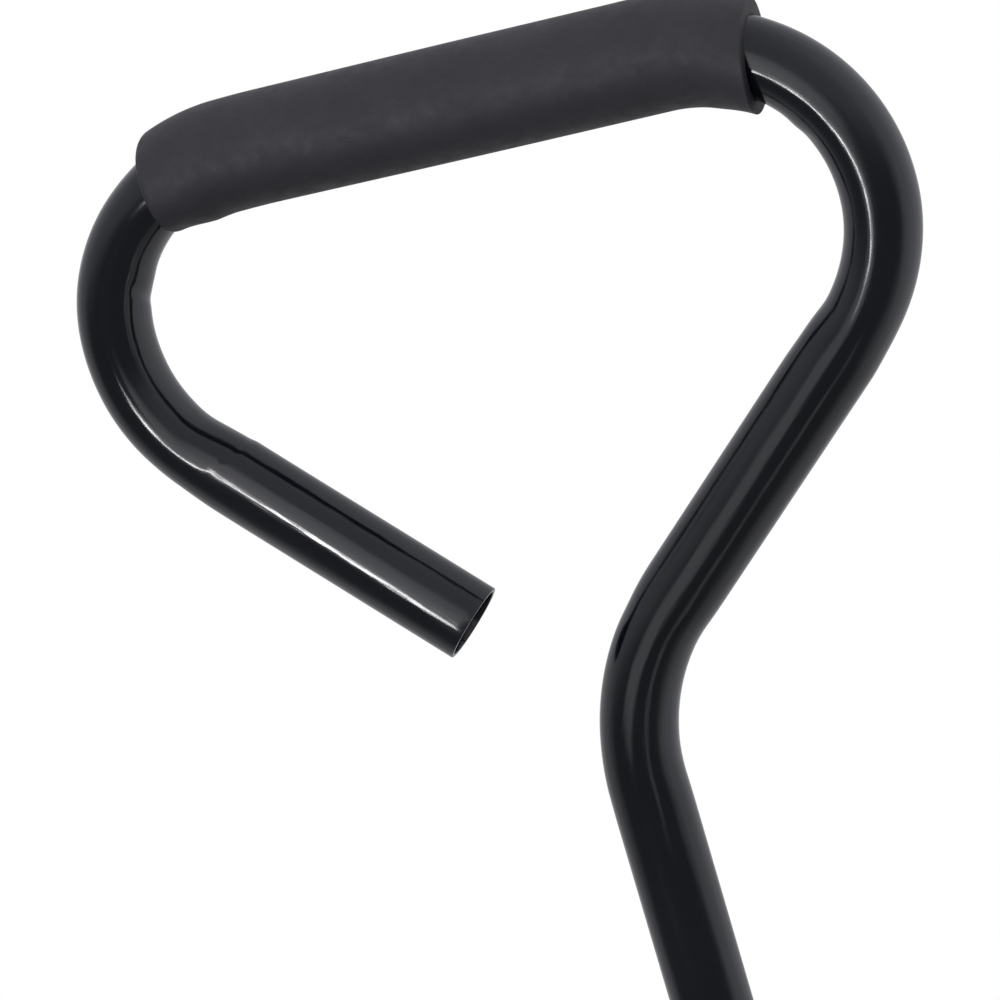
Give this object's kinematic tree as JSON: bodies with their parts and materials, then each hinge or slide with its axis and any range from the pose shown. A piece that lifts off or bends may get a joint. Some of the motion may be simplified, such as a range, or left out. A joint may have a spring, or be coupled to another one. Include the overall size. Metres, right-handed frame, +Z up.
{
  "type": "pull bar",
  "caption": "Bent steel tube pull bar with an open triangular handle, a foam grip and a pivoting bolt-down foot.",
  "frame": {"origin": "middle of the foot plate's underside", "axes": "+X along the grip and the pivot bolt, towards the handle's closed side; +Y to the back; +Z up the shank"},
  "size_m": [0.2375, 0.06, 0.6038],
  "materials": {
    "gloss_black_paint": "gloss black paint on bent steel tube and plate",
    "black_foam": "matt closed-cell foam with a fine skin",
    "white_nylon": "natural white nylon",
    "zinc_plate": "bright zinc plating"
  },
  "bodies": {
    "foot": {"foot_plate": "gloss_black_paint", "fork": "gloss_black_paint", "pivot_bolt": "zinc_plate", "head_washer": "zinc_plate", "nut_washer": "zinc_plate", "lock_nut": "zinc_plate", "nut_insert": "white_nylon"},
    "bar": {"bar_tube": "gloss_black_paint", "foam_grip": "black_foam", "pivot_sleeve": "gloss_black_paint", "bush_left": "white_nylon", "bush_right": "white_nylon"}
  },
  "joints": [
    {"name": "bar_swing", "type": "hinge", "parent": "foot", "child": "bar", "pos_m": [0, 0, 0.0225], "axis": [1, 0, 0], "range_deg": [-90, 90]}
  ]
}
